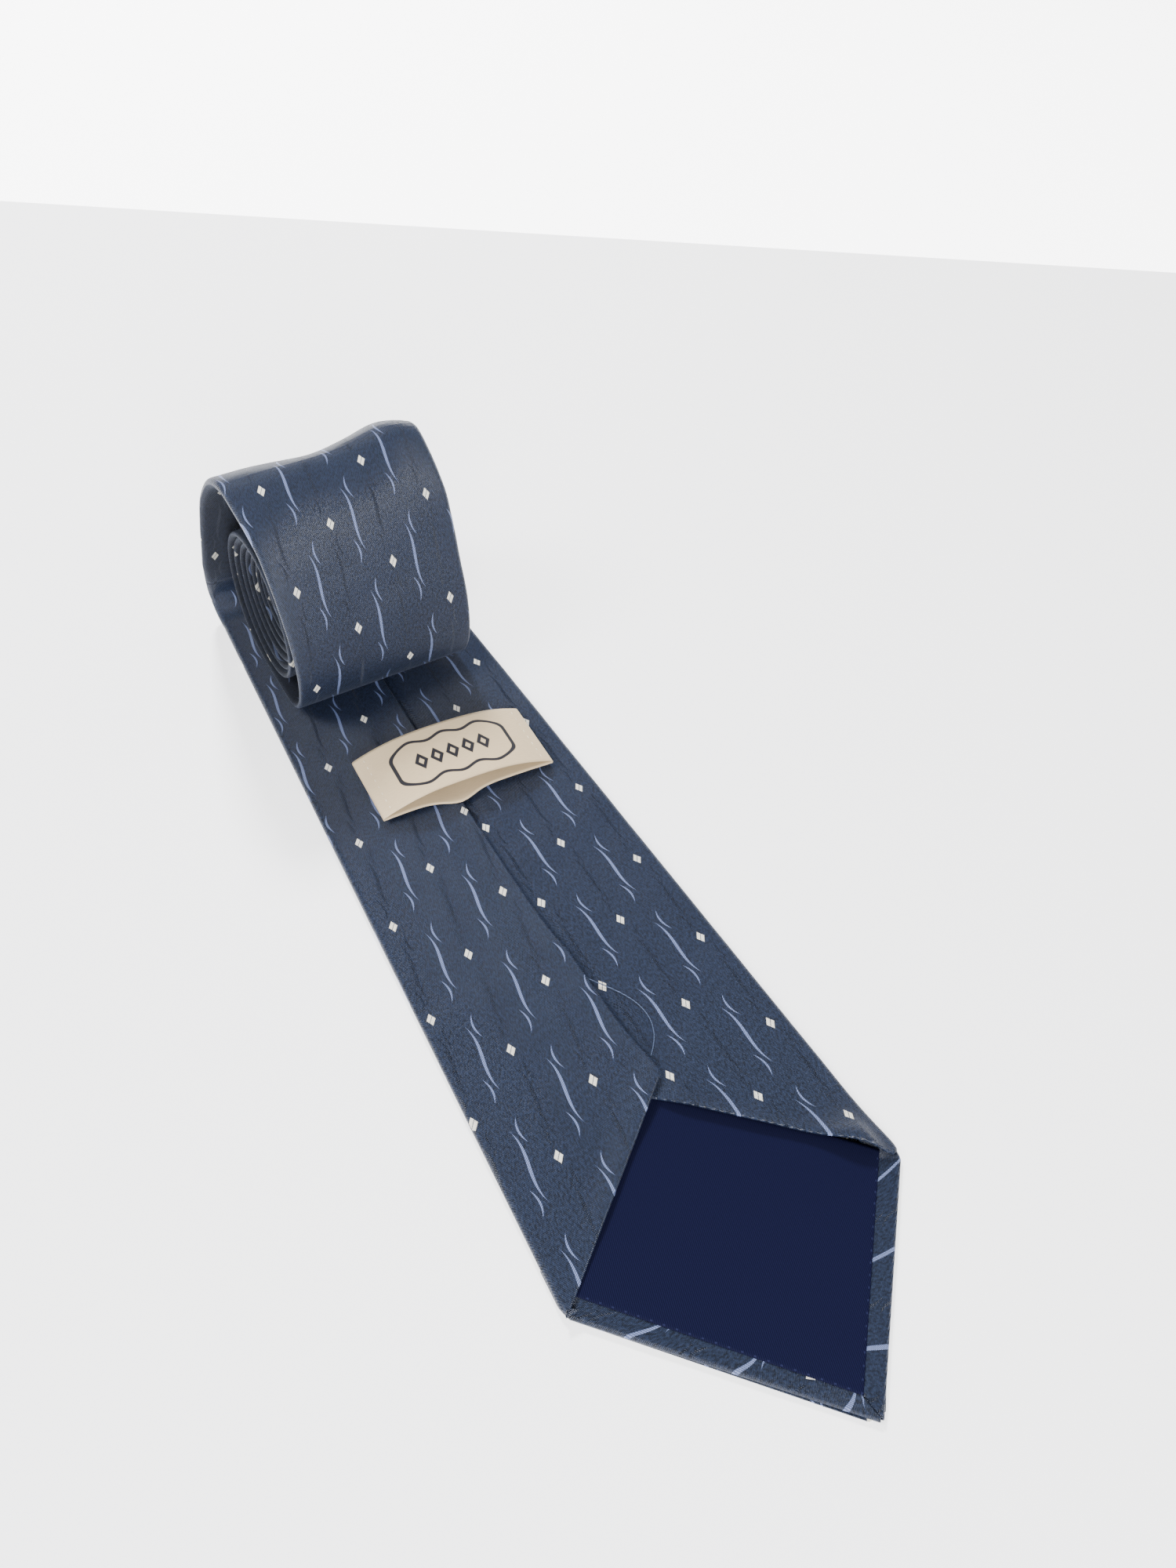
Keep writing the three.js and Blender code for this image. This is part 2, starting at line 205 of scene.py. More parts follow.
def strokes(tree, x, y):
    """A long stroke along x = 0.00159 y^3 - 0.0755 y, and two short arcs beyond its ends, which are
    point symmetric and bow as x = -1 - 0.066 (y - 10.5)^2."""
    square = node(tree, "Math", y, y, operation="MULTIPLY")
    slope = node(tree, "Math", square, 0.00159, -0.0755, operation="MULTIPLY_ADD")
    long_one = stroke(tree, x, y, node(tree, "Math", slope, y, operation="MULTIPLY"),
                      length=11.4, width=0.52, power=1.1)
    side = node(tree, "Math", y, operation="SIGN")
    x_side = node(tree, "Math", x, side, operation="MULTIPLY")
    y_side = node(tree, "Math", y, side, operation="MULTIPLY")
    from_top = node(tree, "Math", y_side, 10.5, operation="SUBTRACT")
    bow = node(tree, "Math", node(tree, "Math", from_top, from_top, operation="MULTIPLY"), -0.066, -1.0,
               operation="MULTIPLY_ADD")
    arc = stroke(tree, x_side, node(tree, "Math", y_side, 10.0, operation="SUBTRACT"), bow,
                 length=4.4, width=0.36, power=1.0)
    return node(tree, "Math", long_one, arc, operation="MAXIMUM")


# Silk jacquard: a satin ground with a fine diagonal grain gives a soft gleam, and the figures float
# over it. Yarns are about 0.12 mm; the grain is drawn at about 0.6 mm and the rib at 0.42 mm to show.
# Inside the wrap and the roll the cloth's colour is mixed towards black as painted shade, and made duller,
# by a per-point attribute which is 1 outside.
silk, tree = new_material("silk_jacquard_slate")
woven = node(tree, "UVMap", uv_map="weave")
axes = tree.nodes.new("ShaderNodeSeparateXYZ")
tree.links.new(woven, axes.inputs[0])
u, v = axes.outputs[0], axes.outputs[1]
x, y = figure_grid(tree, u, v, PALE_SHIFT)
pale = strokes(tree, x, y)
x, y = figure_grid(tree, u, v, TONAL_SHIFT)
tonal = strokes(tree, x, y)
# A seed is a lozenge 2.5 by 4 mm, where |x|/1.25 + |y|/2 is less than 1, with a slit from side to side
SEED_HALF = (1.25, 2.0)
x, y = figure_grid(tree, u, v, (0.0, 0.0))
x = node(tree, "Math", x, -1.0 / SEED_HALF[0], operation="MULTIPLY")
y = node(tree, "Math", y, 1.0 / SEED_HALF[1], operation="MULTIPLY")
reach = node(tree, "Math", node(tree, "Math", x, operation="ABSOLUTE"),
             node(tree, "Math", y, operation="ABSOLUTE"), operation="ADD")
seed = inside(tree, node(tree, "Math", 1.0, reach, operation="SUBTRACT"), 0.1)
off = node(tree, "Math", node(tree, "Math", x, y, operation="SUBTRACT"), operation="ABSOLUTE")
slit = inside(tree, node(tree, "Math", 0.1, off, operation="SUBTRACT"), 0.06)
turned = node(tree, "Mapping", woven, named={"Scale": (1.9, 0.9, 1), "Rotation": (0, 0, 0.7)})
grain = node(tree, "TexNoise", turned, named={"Scale": 1.0, "Detail": 2.0, "Roughness": 0.6})
grain = inside(tree, node(tree, "Math", grain, 0.5, operation="SUBTRACT"), 0.22)
rib = node(tree, "TexWave", node(tree, "Mapping", woven, named={"Rotation": (0, 0, 0.62)}),
           named={"Scale": 0.75, "Distortion": 0.6, "Detail": 1.0, "Detail Scale": 2.0})
hatch = node(tree, "TexWave", node(tree, "Mapping", woven, named={"Rotation": (0, 0, -0.9)}),
             named={"Scale": 0.7, "Distortion": 0.3})
cloud = node(tree, "TexNoise", woven, named={"Scale": 0.06, "Detail": 2.0})
painted_shade = node(tree, "Attribute", attribute_name="painted_shade", output=2)
ground = node(tree, "MixRGB", grain, linear("#090C14"), linear("#212A3F"))
ground = node(tree, "MixRGB", node(tree, "Math", cloud, 0.35, operation="MULTIPLY"), ground,
              linear("#262F44"))
hatched = node(tree, "Math", tonal, hatch, operation="MULTIPLY")
ground = node(tree, "MixRGB", node(tree, "Math", hatched, 0.5, operation="MULTIPLY"), ground,
              linear("#04060B"))
float_colour = node(tree, "MixRGB", hatch, linear("#414C70"), linear("#7480A4"))
colour = node(tree, "MixRGB", pale, ground, float_colour)
seed_colour = node(tree, "MixRGB", slit, linear("#D8D4C8"), linear("#4A505C"))
colour = node(tree, "MixRGB", seed, colour, seed_colour)
# Painted shade: the colour is mixed towards black where the per-point factor is below 1.
colour = node(tree, "MixRGB", painted_shade, linear("#000000"), colour)
height = node(tree, "Math", node(tree, "Math", grain, 0.5, operation="MULTIPLY"), rib, operation="ADD")
height = node(tree, "Math", pale, 1.2, height, operation="MULTIPLY_ADD")
height = node(tree, "Math", hatched, 1.6, height, operation="MULTIPLY_ADD")
height = node(tree, "Math", seed, 1.5, height, operation="MULTIPLY_ADD")
gloss = node(tree, "MapRange", painted_shade, 0.35, 1.0, 0.9, 0.35)
surface(tree, height, 0.8, 0.00014, Base_Color=colour, Roughness=gloss, Specular_IOR_Level=0.28,
        Sheen_Weight=0.08, Sheen_Roughness=0.3, Sheen_Tint=linear("#AEBBD8"))


# ---- The lie of the tie: flat, up through a bend, once round loosely, then wound into a roll ----
# The roll is an oval spiral. Its left and right edges have their own outlines, because the roll is
# skewed: its left edge bulges towards the point.

BEND_START, BEND_RADIUS = 318.0, 12.0
WRAP_LEFT = np.array([
    [327, 23], [324, 33.5], [321.5, 44.5], [317, 57], [309.5, 68], [299.5, 72.5], [288.5, 69.5],
    [278.5, 64], [270, 56], [262.5, 46.5], [257, 35.5], [255.3, 25], [258, 14.5], [264, 7.5],
    [272, 5.2]])
WRAP_RIGHT = np.array([
    [329, 24], [328, 35], [326, 46.5], [321, 58], [314, 68], [304.5, 73.5], [295, 70], [286, 63],
    [279.5, 54], [273, 42], [266.5, 31.5], [263.5, 21.5], [263.5, 13], [267, 7], [275, 5.2]])
WINDINGS, PITCH = 8, 2.12
# The first winding of each edge: its middle (y, z), and its half width and half height
OVAL_LEFT, OVAL_RIGHT = (290, 29.8, 28, 24.5), (300, 29.8, 26.5, 24.5)


def winding(turns, y, z, across, up):
    """An oval that shrinks by the pitch each turn, starting at its lowest point."""
    angle = 2 * np.pi * (turns - 0.25)
    return np.c_[y + (across - PITCH * turns) * np.cos(angle), z + (up - PITCH * turns) * np.sin(angle)]


def edge_line(wrap, oval):
    """One edge of the tie's face, as [y, z] in mm, from the point to the tail."""
    flat = np.c_[np.arange(0, BEND_START, 1.0), np.zeros(int(BEND_START))]
    angle = np.radians(np.arange(0, 60, 3.0))
    last = np.radians([60.0, 90.0])
    bend, top = (np.c_[BEND_START + BEND_RADIUS * np.sin(a), BEND_RADIUS * (1 - np.cos(a))]
                 for a in (angle, last))
    spiral = winding(np.arange(0, WINDINGS * 96 + 1) / 96, *oval)
    loose = smooth_through(np.vstack((top, wrap, spiral[[0, 6]])), 12)[:-12]
    return np.vstack((flat, bend, loose[:-1], spiral))


LEFT_LINE = edge_line(WRAP_LEFT, OVAL_LEFT)
RIGHT_LINE = edge_line(WRAP_RIGHT, OVAL_RIGHT)
ALONG = np.r_[0, np.cumsum(sum(np.linalg.norm(np.diff(e, axis=0), axis=1)
                               for e in (LEFT_LINE, RIGHT_LINE)) / 2)]
LENGTH = ALONG[-1]
WAYS = [np.gradient(e, ALONG, axis=0) for e in (LEFT_LINE, RIGHT_LINE)]
EDGE_AT = 34                        # the edge lines are this far left and right of the tie's axis


def lay(across, along, depth):
    """Puts a point of the tie in place, in metres: at its distance along the path, mixed between the two
    edges by where it is across, and moved inwards from the face by its depth."""
    share = (across + EDGE_AT) / (2 * EDGE_AT)
    y, z, way_y, way_z = (
        (1 - share) * np.interp(along, ALONG, left) + share * np.interp(along, ALONG, right)
        for left, right in ((LEFT_LINE[:, 0], RIGHT_LINE[:, 0]), (LEFT_LINE[:, 1], RIGHT_LINE[:, 1]),
                            (WAYS[0][:, 0], WAYS[1][:, 0]), (WAYS[0][:, 1], WAYS[1][:, 1])))
    size = np.hypot(way_y, way_z)
    return np.stack((across + 0 * y, y - way_z / size * depth - MIDDLE, z + way_y / size * depth), -1) * MM


def ease(value, start, end):
    """0 before start, 1 after end, and 3t^2 - 2t^3 between."""
    t = np.clip((value - start) / (end - start), 0, 1)
    return t * t * (3 - 2 * t)


TAIL_CORNER = LENGTH - 24
CORNER_HALF, TAPER = 47.5, 0.039    # half the blade's width, and its narrowing along the tie
NECK_HALF, TAIL_HALF, TIP_HALF = 17.5, 23.0, 0.8


def half_width(along):
    """Half the tie's width: narrowing from the blade, level in the neck, and widening to the tail."""
    along = np.asarray(along, float)
    taper = np.maximum(CORNER_HALF - TAPER * (along - 50),
                       np.interp(along, [1050, TAIL_CORNER], [NECK_HALF, TAIL_HALF]))
    tip = np.interp(along, [TAIL_CORNER, LENGTH], [TAIL_HALF, TIP_HALF])
    return np.where(along > TAIL_CORNER, tip, taper)


def middle_line(along):
    """The tie's middle: on its axis in the flat, leaning left on the outer wrap, and then drawn left so
    that the windings lie almost flush at their left edges."""
    lean = -3.5 * np.clip((along - 318) / 34, 0, 1) * (1 - np.clip((along - 385) / 50, 0, 1))
    flush = -32 + 0.009 * np.maximum(along - 540, 0) + half_width(np.minimum(along, TAIL_CORNER))
    share = np.clip((along - 435) / 105, 0, 1)
    return lean * (1 - share) + flush * share


def sides(along):
    """Left and right edges of the tie; the blade's corners are slightly rounded."""
    half, mid = half_width(along), middle_line(along)
    left = np.where(along < BEND_START, -(47.0 - 0.0371 * (along - 53)), mid - half)
    right = mid + half
    left = left + 2.2 * np.clip((55.5 - along) / 2.5, 0, 1) ** 2
    right = right + 1.2 * np.exp(-((along - 50) / 12) ** 2) - 1.6 * np.clip((52.5 - along) / 2.5, 0, 1) ** 2
    return left, right


# ---- Envelope: one layer of silk folded round the body of the tie ----
# The right flap is folded over first and the left one over it. The flaps' ends are turned under and
# run diagonally to the blade's corners. The silk's three lengths are seamed in the neck.

def waves(u, v, size, seed, count=7):
    """Soft unevenness between -1 and 1: a mean of sine waves of about one length, in set directions."""
    rng = np.random.default_rng(seed)
    angle, phase = rng.uniform(0, 2 * np.pi, (2, count))
    rate = 2 * np.pi / (size * rng.uniform(0.7, 1.5, count))
    wave = np.sin(rate * (u[..., None] * np.cos(angle) + v[..., None] * np.sin(angle)) + phase)
    return wave.mean(-1)


def folded(along, left_edge, right_edge, top_left, top_right, base, lip):
    """The folded silk at each distance along: across and depth of its middle surface. It goes from the
    left flap's turned lip, round its free edge, over the flap, round the side fold, across the front,
    and the same way back on the right."""
    left, right = (e[:, None] for e in sides(along))
    left_edge, right_edge, top_left, top_right = (
        np.broadcast_to(q, along.shape)[:, None] for q in (left_edge, right_edge, top_left, top_right))
    r_left, r_right = (top_left - base) / 2, (top_right - base) / 2
    hem = 0.33
    t = np.linspace(0, 1, 27)[None, 1:-1]
    turn = np.linspace(0, np.pi, 9)[None, :]
    side = np.linspace(0, np.pi, 11)[None, :]
    lip_t = np.linspace(1, 0, 5)[None, :-1]
    lip_left = np.clip(left_edge - left - 2 * r_left, 0.05, lip)
    lip_right = np.clip(right - right_edge - 2 * r_right, 0.05, lip)
    f = np.linspace(0, 1, 52)[None, 1:-1]
    span_l, span_r = left + r_left, right - r_right
    across = np.hstack((
        left_edge - hem - lip_left * lip_t,
        left_edge - hem + hem * np.sin(np.pi - turn),
        (left_edge - hem) * (1 - t) + span_l * t,
        span_l - r_left * np.sin(side),
        span_l * (1 - f) + span_r * f,
        span_r + r_right * np.sin(side),
        span_r * (1 - t) + (right_edge + hem) * t,
        right_edge + hem - hem * np.sin(turn),
        right_edge + hem + lip_right * lip_t[:, ::-1]))
    ones = np.ones_like(left)
    depth = np.hstack((
        (top_left - 2 * hem) + 0 * lip_t * ones,
        top_left - hem + hem * np.cos(np.pi - turn),
        top_left + 0 * t,
        base + r_left + r_left * np.cos(side),
        base + 0 * f * ones,
        base + r_right - r_right * np.cos(side),
        top_right + 0 * t,
        top_right - hem + hem * np.cos(turn),
        (top_right - 2 * hem) + 0 * lip_t * ones))
    half_side = 5
    counts = [4 + 9 + 25 + half_side, 11 - half_side + 50 + half_side, 11 - half_side + 25 + 9 + 4]
    part = np.repeat((LEFT_FACE, FRONT_FACE, RIGHT_FACE), counts)
    flap = np.r_[np.ones(38), np.linspace(1, 0, 11), np.zeros(50), np.linspace(0, 1, 11), np.ones(38)]
    return across, depth, part, flap


def add_cloth(name, grids, look, thickness):
    """Makes one mesh of quads from grids of (points, weave places by part, part of each column, painted
    shade factor, 1 for none), merges the seams between grids, and gives it its thickness."""
    corners, quads, uvs, painted_shades, start = [], [], [], [], 0
    for points, places, part, painted_shade in grids:
        rows, cols = points.shape[:2]
        at = start + np.arange(rows * cols).reshape(rows, cols)
        quad = np.stack((at[:-1, :-1], at[:-1, 1:], at[1:, 1:], at[1:, :-1]), -1).reshape(-1, 4)
        which = np.broadcast_to(part[1:], (rows - 1, cols - 1)).ravel()
        flat = {k: p.reshape(-1, 2) for k, p in places.items()}
        uv = np.zeros((len(quad), 4, 2))
        for k, p in flat.items():
            uv[which == k] = p[quad[which == k] - start]
        corners.append(points.reshape(-1, 3))
        quads.append(quad)
        uvs.append(uv.reshape(-1, 2))
        painted_shades.append(np.broadcast_to(painted_shade, (rows, cols)).ravel())
        start += rows * cols
    corners, quads = np.vstack(corners), np.vstack(quads)
    mesh = bpy.data.meshes.new(name)
    mesh.from_pydata(corners.tolist(), [], quads.tolist())
    mesh.uv_layers.new(name="weave").data.foreach_set("uv", np.vstack(uvs).ravel())
    # The painted shade factor is kept on each point, for the silk's colour and roughness.
    painted_shade_layer = mesh.attributes.new("painted_shade", "FLOAT", "POINT")
    painted_shade_layer.data.foreach_set("value", np.hstack(painted_shades).astype(np.float32))
    shape = bmesh.new()
    shape.from_mesh(mesh)
    bmesh.ops.remove_doubles(shape, verts=shape.verts, dist=0.00001)
    bmesh.ops.recalc_face_normals(shape, faces=shape.faces)
    shape.to_mesh(mesh)
    shape.free()
    mesh.shade_smooth()
    mesh.materials.append(look)
    made = bpy.data.objects.new(name, mesh)
    bpy.context.collection.objects.link(made)
    wall = made.modifiers.new("thickness", "SOLIDIFY")
    wall.thickness, wall.offset = thickness * MM, 0
    return made


def edges_of_flaps(along):
    """The flaps' free edges: diagonal from the corners, then the left one on the seam and the right one
    under it."""
    left = np.interp(along, [53, 57, 97, 103, 113, 130, 143, 149, 160, 180, 318, 420],
                     [-46.6, -42.0, 5.0, 4.5, 3.2, 2.4, 2.1, 1.2, 0.5, 0.1, 0.1, 0.15])
    right = np.interp(along, [50.5, 51.7, 97, 318, 420], [46.8, 45.0, -5.0, -5.0, -0.15])
    mid = middle_line(along) * (along > BEND_START)
    return left + mid, right + mid


def relief(across, along, flap):
    """How far the flaps stand off the body: the left one climbs over the right one and its diagonal
    edge lifts; the right one's diagonal edge and corner lift in a small pocket, and it has a groove
    beside the left one's edge; both are slightly uneven."""
    flat = 1 - ease(along, 300, 330)
    over = ease(across, -15, -3) * 1.35 + 0.4 * ease(across, -1, 3)
    over = over * ease(along, 78, 96) * (across < 8) * flat
    from_edge = (along - (51.7 + (45.0 - across) * 0.905)) * 0.74
    lip_lift = 1.5 * np.exp(-(np.maximum(from_edge, 0) / 6) ** 2) * ease(across, -3, 8)
    pocket = 2.2 * np.exp(-((across - 40) / 7) ** 2 - ((along - 58) / 8) ** 2)
    pocket = (lip_lift + pocket) * ease(47.5 - across, 0, 6)
    from_left = (along - (57 + (across + 42) * 0.851)) * 0.76
    left_lift = 0.8 * np.exp(-(np.maximum(from_left, 0) / 5) ** 2)
    over = over + left_lift * ease(across, -40, -25) * (along < 108)
    beside = across - 1.4 - edges_of_flaps(along)[0]
    groove = 0.9 * np.exp(-(beside / 1.1) ** 2) * ease(along, 104, 118)
    groove = groove * flat * (across > 0)
    uneven = (0.34 * waves(across, along, 38, 3) + 0.14 * waves(across, along, 15, 5)) * flat
    return flap * uneven, flap * over, flap * (pocket * (across > 0) - groove)


def body_shape(across, along):
    """How far the loose outer wrap dents inwards: soft waves, a hollow in the middle of its crest, a
    swelling to the right of it, and its right edge drawn in."""
    loose = ease(along, 335, 350) * (1 - ease(along, 455, 480))
    crest = np.exp(-((along - 402) / 26) ** 2)
    return loose * (0.7 * waves(across, along, 34, 11) + 0.15 * waves(across, along, 13, 12)) + crest * (
        1.5 * np.exp(-((across + 2) / 13) ** 2)
        - 1.6 * np.exp(-((across - 21) / 8) ** 2)
        + 1.6 * ease(across, 26, 36))


def envelope_grid(along, base, top, lip, columns=slice(None)):
    """The folded silk in place, ready for add_cloth."""
    left_edge, right_edge = edges_of_flaps(along)
    across, depth, part, flap = folded(along, left_edge, right_edge, top, top, base, lip)
    across, depth, part, flap = across[:, columns], depth[:, columns], part[columns], flap[columns]
    s = along[:, None] + 0 * across
    uneven, over, pocket = relief(across, s, flap[None, :])
    depth = depth + uneven + np.where(part == LEFT_FACE, over, 0)
    depth = depth + np.where(part == RIGHT_FACE, pocket, 0)
    depth = depth + body_shape(across, s)
    places = {k: weave_place(across, s, k) for k in (LEFT_FACE, FRONT_FACE, RIGHT_FACE)}
    # Painted shade: the colour is darkened in the roll's windings and on the flaps' sides from the wrap on,
    # down to 0.35 of the silk's; 1 is none.
    pressed = ease(along, 440, 520)[:, None]
    inner = 0.55 * ease(along, 332, 350)[:, None] * (part != FRONT_FACE)
    painted_shade = np.maximum(1 - 0.35 * pressed - inner, 0.35)
    return lay(across, s, depth), places, part, painted_shade


def flap_height(along):
    """Middle of the flaps' silk above the face: full in the blade, less in the wrap, pressed flat in
    the roll."""
    return np.interp(along, [0, 300, 345, 440, 500, LENGTH], [2.95, 2.95, 3.2, 3.0, 1.6, 1.6])


# The blade. It goes on to the straight back of the bend, and bends with it.
BLADE_END = 342.0
rows = np.r_[np.arange(53, BLADE_END, 1.5), BLADE_END]
right_rows = np.r_[50.6, 51.6, rows]
left_columns, front_columns, right_columns = slice(0, 49), slice(48, 100), slice(99, 148)
blade_grids = [
    envelope_grid(rows, 0.2, flap_height(rows), 4.0, left_columns),
    envelope_grid(rows, 0.2, flap_height(rows), 4.0, front_columns),
    envelope_grid(right_rows, 0.2, flap_height(right_rows), 4.0, right_columns),
]
# The point's face, between its two hems
point_rows = np.r_[np.arange(1.5, 53, 1.5), 53.0]
across_face = np.linspace(0, 1, 50)[None, :]
lo = np.interp(point_rows, [0, 53], [3.7, -45.9])
hi = np.interp(point_rows, [0, 50, 53], [5.7, 46.2, 46.2])
across = lo[:, None] * (1 - across_face) + hi[:, None] * across_face
s = point_rows[:, None] + 0 * across
blade_grids.append((lay(across, s, 0.2 + 0 * s), {FRONT_FACE: weave_place(across, s, FRONT_FACE)},
                    np.full(50, FRONT_FACE), 1.0))
# The hem turned round the point: a fold carried along the outline, mitred at each turn. Its offset
# inwards from each corner is the sum of the two sides' normals over one plus their product.
outline = np.array([[-46.6, 66], [-46.9, 56.5], [-46.0, 53.0], [4.3, 0.2], [5.1, 0.2],
                    [47.9, 49.0], [48.5, 52.0], [47.4, 64]])
way = np.diff(outline, axis=0)
way /= np.linalg.norm(way, axis=1)[:, None]
normal = np.c_[-way[:, 1], way[:, 0]]
before, after = np.vstack((normal[:1], normal)), np.vstack((normal, normal[-1:]))
mitre = (before + after) / (1 + (before * after).sum(1))[:, None]
stops = np.r_[0, np.cumsum(np.linalg.norm(np.diff(outline, axis=0), axis=1))]
fold_turn = np.linspace(0, np.pi, 9)
HEM_WIDTH, HEM_RADIUS = 6.6, 0.72
inset = np.r_[np.linspace(HEM_WIDTH, 1.6, 8), HEM_RADIUS * (1 - np.sin(fold_turn)),
              np.linspace(1.6, 3, 3)]
# The silk shows its front on the hem's back: how far the pattern slips along each hem, and inwards
HEM_SLIPS = {-1: (2, 10.0, 3.0), 1: (4, 9.7, -1.0)}
rise = 0.2 + HEM_RADIUS + HEM_RADIUS * np.r_[np.ones(8), np.cos(fold_turn), -np.ones(3)]
for first, last, hand, part in ((0, 3, -1, LEFT_FACE), (4, 7, 1, RIGHT_FACE)):
    run = np.linspace(stops[first], stops[last], 90)
    line = np.stack([np.interp(run, stops, outline[:, k]) for k in (0, 1)], -1)
    off = np.stack([np.interp(run, stops, mitre[:, k]) for k in (0, 1)], -1)
    spot = line[:, None, :] + off[:, None, :] * inset[None, :, None]
    seam = 4.7 - 0.125 * spot[..., 1] + 0.06 * hand
    x = np.minimum(spot[..., 0], seam) if hand < 0 else np.maximum(spot[..., 0], seam)
    s = spot[..., 1]
    puff = 0.12 * waves(x, s, 22, 21) * (rise > 1)
    side, slip, inwards = HEM_SLIPS[hand]
    face = line[:, None, :] - off[:, None, :] * (inset[None, :, None] - inwards) - way[side] * slip
    # The hem's colour is dimmed to 0.95 of the silk's, a slight painted shade, and made a little duller.
    blade_grids.append((lay(x, s, rise[None, :] + puff),
                        {part: weave_place(face[..., 0], face[..., 1], FRONT_FACE)},
                        np.full(len(inset), part), 0.95))
envelope = add_cloth("silk_blade", blade_grids, silk, 0.4)
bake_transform(envelope)
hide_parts("envelope_blade")

# The loose outer wrap, the neck and the tail
SEAMS = (BLADE_END, 740.0, 1080.0, LENGTH)
for name, cad_name, start, end, step, thickness in (
        ("silk_wrap", "envelope_wrap", SEAMS[0], SEAMS[1], 1.6, 0.36),
        ("silk_neck", "envelope_neck", SEAMS[1], SEAMS[2], 2.5, 0.3),
        ("silk_tail", "envelope_tail", SEAMS[2], TAIL_CORNER - 2, 2.5, 0.3)):
    rows = np.linspace(start, end, int((end - start) / step))
    grids = [envelope_grid(rows, thickness / 2, flap_height(rows), 2.0)]
    if cad_name == "envelope_tail":
        # The tail's point: the same face and folds, drawn in to the tip
        tip = np.linspace(end, LENGTH - 1.2, 14)
        grids.append(envelope_grid(tip, thickness / 2, flap_height(tip), 0.4, slice(38, 110)))
    made = add_cloth(name, grids, silk, thickness)
    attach(made, "roll")
    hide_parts(cad_name)


# ---- Tipping: the navy lining behind both points ----
# A square-cut piece of fine twill, its edges turned down and slip-stitched to the hem. It runs in
# under the flaps.

# Lining twill: matt, with a fine diagonal rib at 0.5 mm, and faint stitches along its edges
lining, tree = new_material("lining_twill_navy")
woven = node(tree, "UVMap", uv_map="weave")
axes = tree.nodes.new("ShaderNodeSeparateXYZ")
tree.links.new(woven, axes.inputs[0])
rib = node(tree, "TexWave", node(tree, "Mapping", woven, named={"Rotation": (0, 0, 1.1)}),
           named={"Scale": 0.62, "Distortion": 0.4, "Detail": 1.0})
fleck = node(tree, "TexNoise", woven, named={"Scale": 2.2, "Detail": 3.0})
stitches = None
for near, run in ((0, 1), (1, 0)):
    beat = node(tree, "Math", axes.outputs[run], 3.1, operation="FLOORED_MODULO")
    dash = node(tree, "Math", beat, 0.55, operation="LESS_THAN")
    row = node(tree, "Math", axes.outputs[near], 0.42, 0.16, operation="COMPARE")
    mark = node(tree, "Math", dash, row, operation="MULTIPLY")
    stitches = mark if stitches is None else node(tree, "Math", stitches, mark, operation="MAXIMUM")
cloth_colour = node(tree, "MixRGB", rib, linear("#080920"), linear("#12142F"))
cloth_colour = node(tree, "MixRGB", node(tree, "Math", fleck, 0.4, operation="MULTIPLY"), cloth_colour,
                    linear("#060714"))
surface(tree, node(tree, "Math", rib, fleck, operation="ADD"), 0.35, 0.00006,
        Base_Color=node(tree, "MixRGB", stitches, cloth_colour, linear("#1B1E38")), Roughness=0.7,
        Specular_IOR_Level=0.06)

corner = np.array([3.9, 6.4])
toward_right, toward_left = np.array([38.4, 44.6]) / 58.85, np.array([-45.9, 49.6]) / 67.58
a = np.r_[0, 0.12, 0.3, 0.6, 1.0, np.arange(2, 62.5, 1.0)]
b = np.r_[0, 0.12, 0.3, 0.6, 1.0, np.arange(2, 70.5, 1.0)]
a_grid, b_grid = np.meshgrid(a, b, indexing="ij")
spot = corner + a_grid[..., None] * toward_right + b_grid[..., None] * toward_left
turned = np.exp(-(np.minimum(a_grid, b_grid) / 0.28) ** 2)
height = 2.08 - 0.2 * turned + 0.1 * waves(a_grid, b_grid, 24, 31)
lining_grid = [(lay(spot[..., 0], spot[..., 1], height), {0: np.stack((a_grid, b_grid), -1)},
                np.zeros(len(b), int), 1.0)]
tipping = add_cloth("lining_blade", lining_grid, lining, 0.25)
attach(tipping, "blade")
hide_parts("tipping_blade")


def strip(start, end, inset, depth, step):
    """A flat layer inside the tie: across from edge to edge less an inset, at one depth."""
    rows = np.linspace(start, end, int((end - start) / step))
    left, right = sides(rows)
    t = np.linspace(0, 1, 24)[None, :]
    across = (left + inset)[:, None] * (1 - t) + (right - inset)[:, None] * t
    s = rows[:, None] + 0 * across
    return [(lay(across, s, depth + body_shape(across, s)),
             {0: np.stack((across, s), -1)}, np.zeros(24, int), 1.0)]


tail_lining = strip(LENGTH - 60, TAIL_CORNER - 1, 1.6, 1.35, 2.0)
made = add_cloth("lining_tail", tail_lining, lining, 0.2)
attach(made, "roll")
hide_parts("tipping_tail")


# ---- Interlining: the body of the tie ----
# Brushed wool cut on the bias, one long strip from point to tail. It is loose inside the envelope
# and caught by the slip stitch; only its edge can be seen, in the pocket at the right corner.

